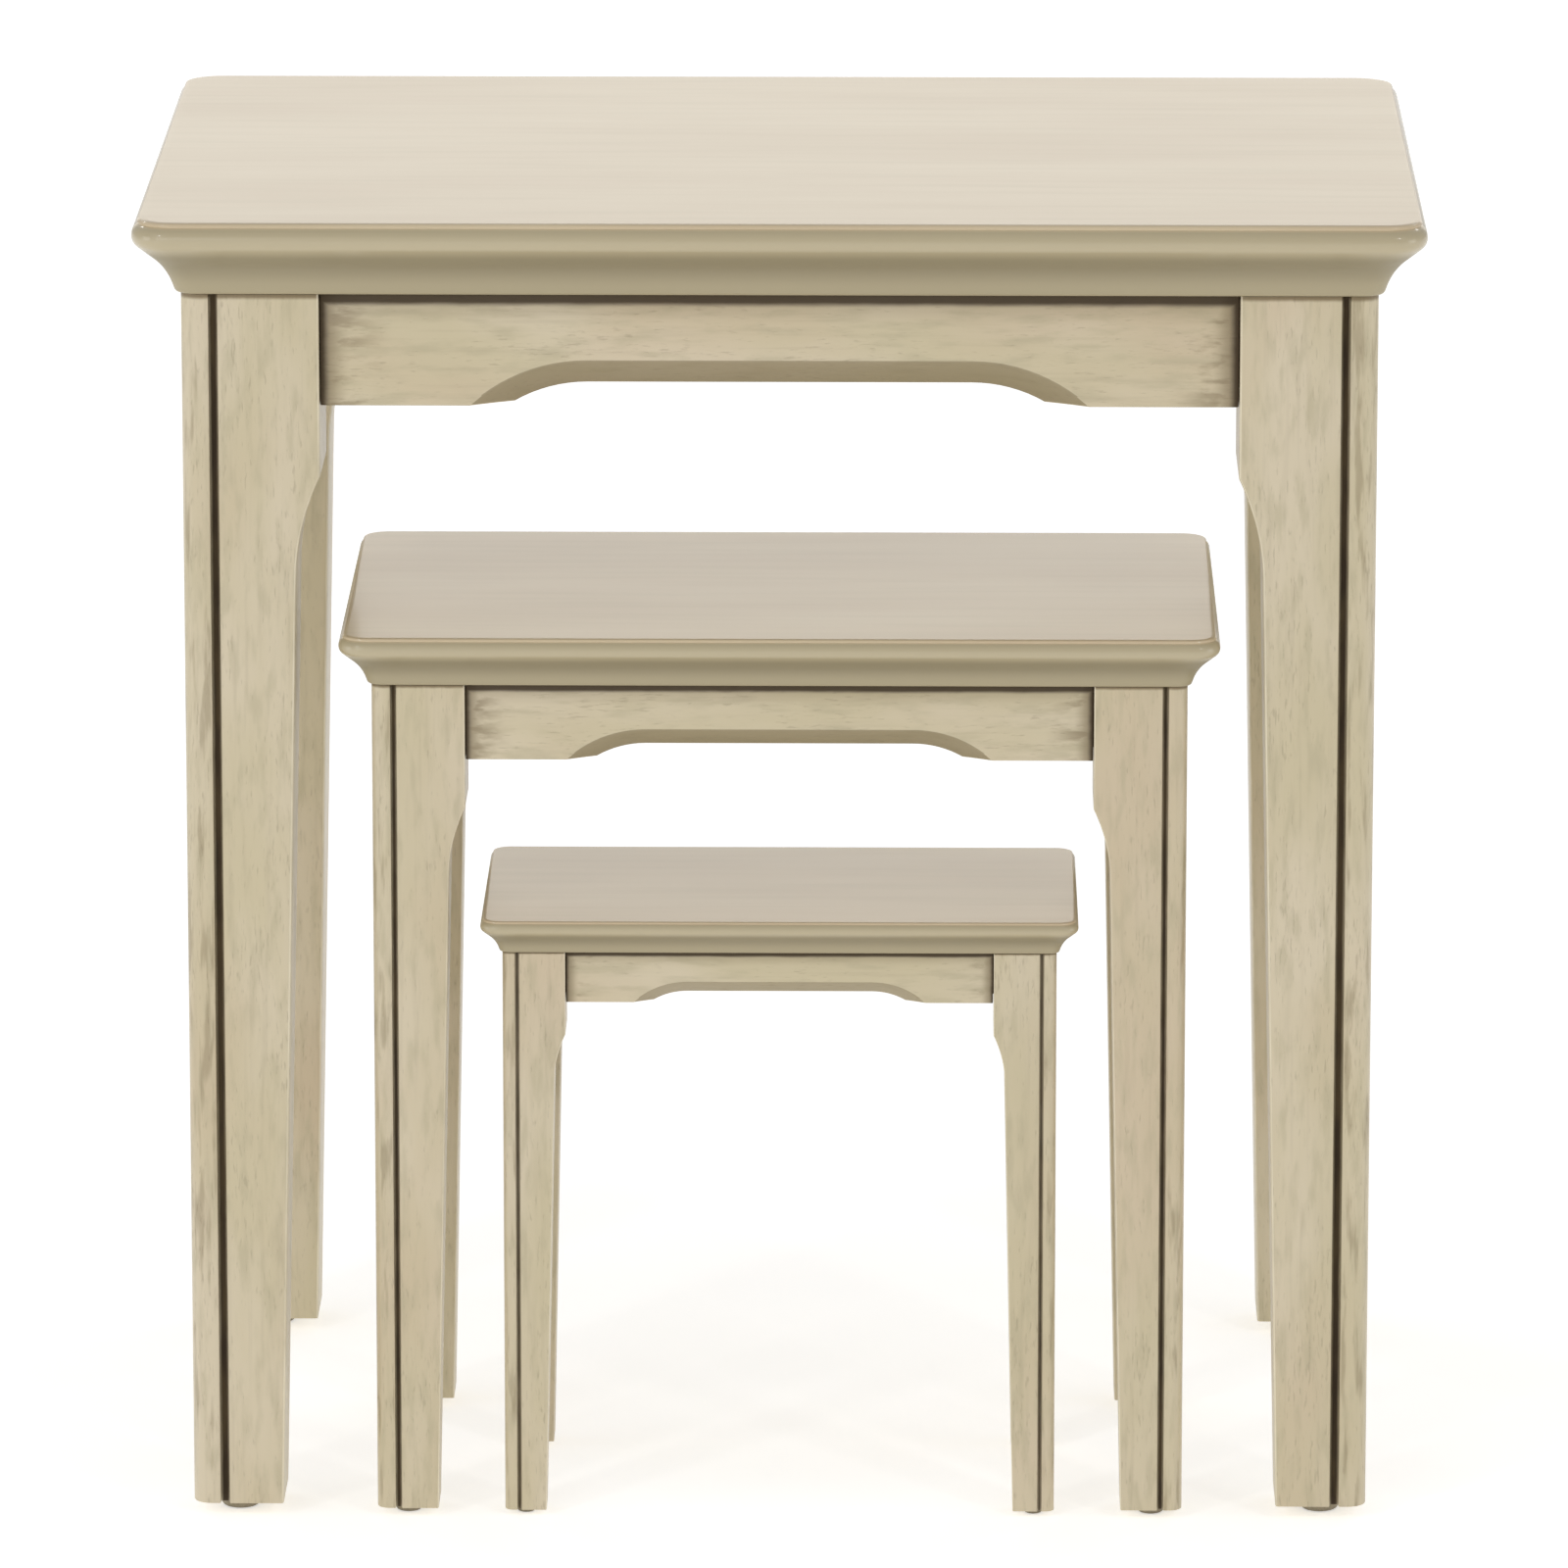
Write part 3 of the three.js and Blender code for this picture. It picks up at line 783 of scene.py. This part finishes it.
def make_top(table):
    """Draws the upper face down through the outline of each point of the moulding."""
    profile = moulding_profile()
    z = table.top_high.z
    outline = plan_corner(table, profile[0][0])
    half_x, half_y, radius = outline
    low = Vector((-half_x, table.middle_y - half_y, z))
    high = Vector((half_x, table.middle_y + half_y, z))
    top = edit(add_panel(f"{table.name}_table_top", low, high))
    bpy.ops.mesh.select_all(action="SELECT")
    round_points(radius, PLAN_STEPS)
    for inset, drop in profile[1:]:
        next_z = table.top_high.z - table.size(drop)
        pick_level_face(z)
        extrude(0, 0, next_z - z)
        z = next_z
        next_outline = plan_corner(table, inset)
        reshape_outline(table, outline, next_outline, z)
        outline = next_outline
    pick_level_face(table.top_high.z)
    bpy.ops.mesh.inset(thickness=table.size(FLAT_RIM))
    leave_edit()
    recalculate_outward(top)
    smooth(top, TOP_SMOOTH)
    fit_to_frame(top, table, [top_paint(table)], "painted_top", f"{table.name}_top")


# ---- Legs --------------------------------------------------------------------------------------------


def shoulder_heights(table):
    """Where the curved shoulder of a leg starts under the head, and where it ends."""
    head_end = table.underside - table.size(LEG_HEAD_LENGTH)
    return head_end, head_end - table.size(LEG_SHOULDER_LENGTH)


def leg_width(table, z):
    """Square head, curved shoulder, then a straight taper to the foot."""
    head_end, shoulder_end = shoulder_heights(table)
    taper = table.size(LEG_SHOULDER - LEG_FOOT) / (shoulder_end - table.foot_z)

    def straight(height):
        return table.size(LEG_FOOT) + taper * (height - table.foot_z)

    if z >= head_end:
        return table.size(LEG_TOP)
    if z <= shoulder_end:
        return straight(z)
    rise = (z - shoulder_end) / (head_end - shoulder_end)
    return straight(z) + (table.size(LEG_TOP) - straight(head_end)) * rise * rise


def leg_plan(table, corner):
    """The outline of the foot: a square with a groove in each outer face and a rounded bead."""
    foot = table.size(LEG_FOOT)
    z = table.foot_z
    outer, inner = table.at(corner, 0, 0, z), table.at(corner, foot, foot, z)
    leg = edit(add_panel(f"{table.name}_leg", outer, inner))
    groove_start = table.size(BEAD)
    groove_end = table.size(BEAD + QUIRK)
    depth = table.size(QUIRK_DEPTH)
    for inward in (depth, groove_start, groove_end):
        for normal in ((1, 0, 0), (0, 1, 0)):
            bpy.ops.mesh.select_all(action="SELECT")
            bpy.ops.mesh.bisect(plane_co=table.at(corner, inward, inward, z), plane_no=normal)

    def inward_of(point):
        return table.half_x - abs(point.x), table.half_y - abs(point.y - table.middle_y)

    def in_groove(middle, _normal):
        in_x, in_y = inward_of(middle)
        shallow, along = min(in_x, in_y), max(in_x, in_y)
        return shallow < depth and groove_start < along < groove_end

    pick("FACE", in_groove)
    bpy.ops.mesh.delete(type="FACE")
    bpy.ops.mesh.select_all(action="SELECT")
    bpy.ops.mesh.dissolve_limited(angle_limit=math.radians(1))

    def round_where(test, radius, segments):
        pick("VERT", lambda point: test(*inward_of(point)))
        round_points(table.size(radius), segments)

    def on_bead(x, y):
        return near(x, 0) and near(y, 0)

    def on_groove_side(x, y):
        return near(max(x, y), groove_start) or near(max(x, y), groove_end)

    def on_groove_floor(x, y):
        return near(min(x, y), depth) and on_groove_side(x, y)

    def on_groove_rim(x, y):
        return near(min(x, y), 0) and on_groove_side(x, y)

    def on_inner_arris(x, y):
        return near(max(x, y), foot) and (near(min(x, y), 0) or near(min(x, y), foot))

    round_where(on_bead, BEAD_ROUND, PLAN_STEPS)
    round_where(on_groove_floor, QUIRK_ROUND, 4)
    round_where(on_groove_rim, QUIRK_RIM, 2)
    round_where(on_inner_arris, LEG_ARRIS, 4)
    leave_edit()
    return leg


def mortises(table, corner):
    """Boxes that clear the tenons of the two aprons."""
    half = table.size(TENON_THICKNESS) / 2 + GAP
    apron_low, _apron_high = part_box(f"{table.name}_apron_front")
    leg_face = table.middle_y - table.half_y
    middle = apron_low.y - leg_face + table.size(APRON_THICKNESS) / 2
    end = table.size(LEG_TOP - TENON_LENGTH) - GAP
    clear = table.size(LEG_TOP) + MM
    low = table.underside - table.size(APRON_HEIGHT - TENON_SHOULDER) - GAP
    high = table.underside - table.size(TENON_SHOULDER) + GAP
    return [
        add_box(
            "mortise",
            table.at(corner, end, middle - half, low),
            table.at(corner, clear, middle + half, high),
        ),
        add_box(
            "mortise",
            table.at(corner, middle - half, end, low),
            table.at(corner, middle + half, clear, high),
        ),
    ]


def mark_arrises(piece, table):
    """Gives the three eased long arrises, but not the bead, the second paint, which carries a painted
    highlight.
    """
    near_inside = table.size(LEG_FOOT - 2 * LEG_ARRIS)
    for face in piece.data.polygons:
        lean_x, lean_y, lean_z = (abs(part) for part in face.normal)
        in_x = table.half_x - abs(face.center.x)
        in_y = table.half_y - abs(face.center.y - table.middle_y)
        slanted = lean_x > SLANTED and lean_y > SLANTED and lean_z < TILTED
        if slanted and max(in_x, in_y) > near_inside:
            face.material_index = 1


def make_legs(table):
    """Draws the foot's outline up the leg, and widens its two inner faces on the way."""
    corner = CORNERS["front_left"]
    leg = leg_plan(table, corner)
    head_end, shoulder_end = shoulder_heights(table)
    heights = [
        shoulder_end + (head_end - shoulder_end) * step / SHOULDER_STEPS
        for step in range(SHOULDER_STEPS + 1)
    ]
    heights.append(table.frame_top)
    inner = table.size(BEAD + QUIRK + QUIRK_RIM) + MM
    foot_z = table.foot_z
    outer_y = table.middle_y - table.half_y
    z = foot_z
    edit(leg)
    for next_z in heights:
        pick_level_face(z)
        extrude(0, 0, next_z - z)
        growth = leg_width(table, next_z) - leg_width(table, z)
        z = next_z
        pick("VERT", lambda point: near(point.z, z) and point.x + table.half_x > inner)
        bpy.ops.transform.translate(value=(growth, 0, 0))
        pick("VERT", lambda point: near(point.z, z) and point.y - outer_y > inner)
        bpy.ops.transform.translate(value=(0, growth, 0))
    pick("EDGE", lambda a, b: near(a.z, foot_z) and near(b.z, foot_z))
    bpy.ops.mesh.bevel(
        affect="EDGES",
        offset=table.size(FOOT_ARRIS),
        offset_type="OFFSET",
        segments=2,
        clamp_overlap=True,
    )
    leave_edit()
    recalculate_outward(leg)
    carve(leg, mortises(table, corner))
    paints = [leg_paint(table, False), leg_paint(table, True)]
    for twin in place_at_corners(leg, table, "leg", paints, "painted_frame", "leg"):
        mark_arrises(twin, table)


# ---- Aprons ------------------------------------------------------------------------------------------


def arch_cutter(table, flat_half, outer_y, bottom):
    """The shape of the opening: a wide round-cornered panel that narrows at 45 degrees."""
    radius = table.size(ARCH_RADIUS)
    chamfer = table.size(ARCH_CHAMFER)
    crown = bottom + table.size(ARCH_RISE)
    start_clean()
    height = 2 * radius
    bpy.ops.mesh.primitive_plane_add(
        size=1,
        location=(0, outer_y, crown - height / 2),
        rotation=(math.radians(90), 0, 0),
    )
    bpy.context.object.scale = (2 * (flat_half + radius), height, 1)
    cutter = edit(keep_in_mesh("arch"))
    pick("VERT", lambda point: near(point.z, crown))
    round_points(radius, ARCH_STEPS)
    bpy.ops.mesh.select_all(action="SELECT")
    extrude(0, -ARCH_CLEAR, 0)
    pick("FACE", lambda middle, normal: near(middle.y, outer_y) and abs(normal.y) > FACING)
    bpy.ops.mesh.inset(thickness=chamfer, depth=0)
    bpy.ops.transform.translate(value=(0, chamfer, 0))
    extrude(0, table.size(2 * APRON_THICKNESS), 0)
    leave_edit()
    recalculate_outward(cutter)
    return cutter


def make_apron(table, name, length, arch_end):
    """An apron as the front one stands, centred on X and with its outer face at Y = 0."""
    half = length / 2 - GAP
    bottom = table.underside - table.size(APRON_HEIGHT)
    thickness = table.size(APRON_THICKNESS)
    apron = add_box(
        name,
        Vector((-half, 0, bottom)),
        Vector((half, thickness, table.frame_top)),
    )
    radius = table.size(ARCH_RADIUS)
    foot = radius - table.size(ARCH_RISE)
    flat_half = max(half + GAP - table.size(arch_end) - math.sqrt(radius**2 - foot**2), MM)
    carve(apron, [arch_cutter(table, flat_half, 0, bottom)])
    ease(apron, table.size(APRON_ARRIS))
    tenon_middle = thickness / 2
    tenon_half = table.size(TENON_THICKNESS) / 2
    low = table.underside - table.size(APRON_HEIGHT - TENON_SHOULDER)
    high = table.underside - table.size(TENON_SHOULDER)
    tip = length / 2 + table.size(TENON_LENGTH)
    for side in (-1, 1):
        tenon = add_box(
            "tenon",
            Vector((side * (half - table.size(TENON_SHOULDER)), tenon_middle - tenon_half, low)),
            Vector((side * tip, tenon_middle + tenon_half, high)),
        )
        combine(apron, tenon, "UNION")
    return apron


def mark_arch(piece, table):
    """Gives the faces that look down into the arch the second paint, which carries a painted shade."""
    bottom = table.underside - table.size(APRON_HEIGHT) + table.size(APRON_ARRIS)
    for face in piece.data.polygons:
        if face.normal.z < -TILTED and face.center.z > bottom:
            face.material_index = 1


def paint_aprons(table, aprons, grain):
    paints = [apron_paint(table, grain, False), apron_paint(table, grain, True)]
    for side, piece in aprons.items():
        recalculate_outward(piece)
        smooth(piece)
        fit_to_frame(piece, table, paints, "painted_frame", f"{table.name}_apron_{side}")
        mark_arch(piece, table)


def make_aprons(table):
    """The front and left aprons, and their copies opposite."""
    head = table.size(LEG_TOP)
    front_low, _front_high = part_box(f"{table.name}_apron_front")
    front_length = 2 * (table.half_x - head)
    front = make_apron(table, f"{table.name}_front_apron", front_length, LONG_ARCH_END)
    set_down(front, (0, 0, 0), Vector((0, front_low.y, 0)))
    rear = reflect(front, f"{table.name}_rear_apron", table, CORNERS["rear_left"])
    paint_aprons(table, {"front": front, "rear": rear}, 0)

    left_low, _left_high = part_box(f"{table.name}_apron_left")
    left_length = 2 * (table.half_y - head)
    left = make_apron(table, f"{table.name}_left_apron", left_length, SHORT_ARCH_END)
    set_down(left, (0, 0, math.radians(-90)), Vector((left_low.x, table.middle_y, 0)))
    right = reflect(left, f"{table.name}_right_apron", table, CORNERS["front_right"])
    paint_aprons(table, {"left": left, "right": right}, 1)


# ---- Corner blocks, screws and glides ----------------------------------------------------------------


def block_plan(table):
    """The block's face on an apron, its notch round the leg, and the far end of its arms."""
    low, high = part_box(f"{table.name}_corner_block_front_left")
    face = low.x + table.half_x
    notch = table.size(LEG_TOP) + GAP
    reach = high.x + table.half_x
    return face, notch, reach, low.z, high.z


def screw_lines(table):
    """Where each screw's head sits and which way it points, at the front left corner."""
    corner = CORNERS["front_left"]
    face, notch, reach, low, high = block_plan(table)
    arm = reach - notch
    middle = (low + high) / 2
    diagonal = (face + reach) / 2
    inward = (Vector((diagonal, diagonal, 0)) - Vector((notch, notch, 0))).normalized()
    upright = table.at(corner, notch + arm / 3, face + arm / 4, low)
    into_leg = table.at(corner, diagonal, diagonal, middle)
    return [
        (upright, Vector((0, 0, 1)), high - low),
        (into_leg, Vector((-inward.x, -inward.y, 0)), (diagonal - notch) * math.sqrt(2)),
    ]


def make_blocks(table, wood):
    """A three-cornered block, notched round the leg and drilled for its two screws."""
    corner = CORNERS["front_left"]
    face, notch, reach, low, high = block_plan(table)
    outer, inner = table.at(corner, face, face, low), table.at(corner, reach, reach, high)
    block = edit(add_box(f"{table.name}_block", outer, inner))
    bpy.ops.mesh.select_all(action="SELECT")
    bpy.ops.mesh.bisect(
        plane_co=table.at(corner, reach, face, low),
        plane_no=(1, 1, 0),
        use_fill=True,
        clear_outer=True,
    )
    leave_edit()
    recalculate_outward(block)
    cutters = [
        add_box(
            "notch",
            table.at(corner, face - MM, face - MM, low - MM),
            table.at(corner, notch, notch, high + MM),
        ),
    ]
    for head, aim, _depth in screw_lines(table):
        far_end = head + aim * table.size(DRILL_LENGTH)
        cutters.append(add_rod("hole", head - aim * MM, far_end, table.size(HOLE_RADIUS)))
    carve(block, cutters)
    ease(block, table.size(BLOCK_ARRIS), 2)
    place_at_corners(block, table, "block", [wood], "bare_wood", "corner_block")


def make_screw(table, name, head, aim, depth):
    """A pan head screw with a cross recess, pointing along its aim from under its head."""
    radius = table.size(SCREW_HEAD)
    height = table.size(SCREW_HEAD_HEIGHT)
    start_clean()
    bpy.ops.mesh.primitive_cylinder_add(
        vertices=SCREW_SIDES,
        radius=radius,
        depth=height,
        location=(0, 0, -height / 2),
    )
    screw = edit(keep_in_mesh(name))
    pick("FACE", lambda middle, normal: normal.z < -FACING)
    round_edges(height * HEAD_CROWN, 5)
    pick("FACE", lambda middle, normal: normal.z > FACING)
    bpy.ops.mesh.inset(thickness=radius - table.size(SCREW_SHANK))
    extrude(0, 0, depth * (1 - SCREW_TAPER))
    extrude(0, 0, depth * SCREW_TAPER)
    bpy.ops.transform.resize(value=(SCREW_POINT, SCREW_POINT, 1))
    leave_edit()
    recalculate_outward(screw)
    slot_length = radius * CROSS_LENGTH
    slot_width = radius * CROSS_WIDTH
    slots = [
        add_box(
            "slot",
            Vector((-length / 2, -width / 2, -height - MM)),
            Vector((length / 2, width / 2, -height * CROSS_FLOOR)),
        )
        for length, width in ((slot_length, slot_width), (slot_width, slot_length))
    ]
    carve(screw, slots)
    set_down(screw, aim.to_track_quat("Z", "Y").to_euler(), head)
    return screw


def make_screws(table, steel):
    """One screw up into the top and one into the leg, through each corner block."""
    uses = ("top_screw", "leg_screw")
    for use, (head, aim, depth) in zip(uses, screw_lines(table)):
        length = depth + table.size(SCREW_BITE)
        screw = make_screw(table, f"{table.name}_{use}", head, aim, length)
        place_at_corners(screw, table, use, [steel], None)


def make_glides(table, plastic):
    """A domed glide under each foot, with its nail in the leg."""
    centre = table.size(LEG_FOOT) / 2
    height = table.foot_z - GAP
    radius = table.size(GLIDE_RADIUS)
    foot = table.at(CORNERS["front_left"], centre, centre, 0)
    rod_end = foot + Vector((0, 0, height))
    glide = edit(add_rod(f"{table.name}_glide", foot, rod_end, radius, GLIDE_SIDES))
    pick("FACE", lambda middle, normal: normal.z < -FACING)
    round_edges(radius - table.size(GLIDE_FLAT), 6, GLIDE_DOME)
    pick("FACE", lambda middle, normal: normal.z > FACING)
    bpy.ops.mesh.inset(thickness=radius - table.size(NAIL_RADIUS))
    extrude(0, 0, table.size(NAIL_LENGTH) + GAP)
    leave_edit()
    recalculate_outward(glide)
    place_at_corners(glide, table, "glide", [plastic], "glide_plastic", "glide")


def make_nest():
    wood = bare_wood()
    plastic = glide_plastic()
    steel = screw_steel()
    for name in TABLES:
        table = Table(name)
        make_top(table)
        make_legs(table)
        make_aprons(table)
        make_blocks(table, wood)
        make_screws(table, steel)
        make_glides(table, plastic)


# ---- Camera, floor and light -------------------------------------------------------------------------

PITCH = math.radians(13.06)
YAW = math.radians(0.685)
DISTANCE = 5.425
AIM_HEIGHT = 0.294
LENS = 276                      # millimetres, on a sensor 36 mm wide
SENSOR = 36
FLOOR_HALF = 12                 # half the side of the floor
WORLD_LIGHT = 0.5
FLOOR_GLOW = 0.5
WARM_WHITE = (1, 0.92, 0.79)
NEST_MIDDLE = Vector((0, 0, 0.3))


def aim_at(thing, target):
    """Turns a lamp or camera, which look along their own -Z, to a point."""
    thing.rotation_euler = (target - thing.location).to_track_quat("-Z", "Y").to_euler()


def place_camera():
    """A long lens that looks a little down on the front, and a hair from the right."""
    data = bpy.data.cameras.new("camera")
    data.lens = LENS
    data.sensor_width = SENSOR
    camera = bpy.data.objects.new("camera", data)
    target = Vector((0, 0, AIM_HEIGHT))
    level = DISTANCE * math.cos(PITCH)
    camera.location = target + Vector((
        level * math.sin(YAW),
        -level * math.cos(YAW),
        DISTANCE * math.sin(PITCH),
    ))
    aim_at(camera, target)
    bpy.context.scene.collection.objects.link(camera)
    bpy.context.scene.camera = camera


def add_softbox(name, place, width, height, power, colour=(1, 1, 1)):
    """A soft lamp that faces the nest."""
    data = bpy.data.lights.new(name, "AREA")
    data.shape = "RECTANGLE"
    data.size = width
    data.size_y = height
    data.energy = power
    data.color = colour
    lamp = bpy.data.objects.new(name, data)
    lamp.visible_camera = False
    lamp.location = place
    aim_at(lamp, NEST_MIDDLE)
    bpy.context.scene.collection.objects.link(lamp)


def lay_floor():
    corner = Vector((FLOOR_HALF, FLOOR_HALF, 0))
    floor = add_panel("floor", -corner, corner)
    floor.data.materials.append(studio_floor())


def light_nest():
    """Broad soft lamps, with a warm backdrop that the lacquered tops mirror."""
    add_softbox("overhead", Vector((0, 0.5, 3.0)), 3.0, 1.3, 1.5)
    add_softbox("front_left", Vector((-1.8, -3.6, 1.2)), 2.4, 1.6, 19)
    add_softbox("backdrop", Vector((0, 5.2, 1.45)), 6.0, 1.6, 28, WARM_WHITE)
    for side in (-1, 1):
        add_softbox("side", Vector((side * 3.4, -1.2, 0.7)), 1.5, 1.2, 12)
        for depth, power in ((-2.9, 10), (2.2, 3)):
            add_softbox("umbrella", Vector((side * 2.2, depth, 2.7)), 0.3, 0.3, power)
    world = bpy.data.worlds.new("studio")
    world.use_nodes = True
    background = world.node_tree.nodes["Background"]
    background.inputs["Color"].default_value = WHITE
    background.inputs["Strength"].default_value = WORLD_LIGHT
    bpy.context.scene.world = world
    bpy.context.scene.view_settings.view_transform = "Standard"


make_nest()
place_camera()
lay_floor()
light_nest()
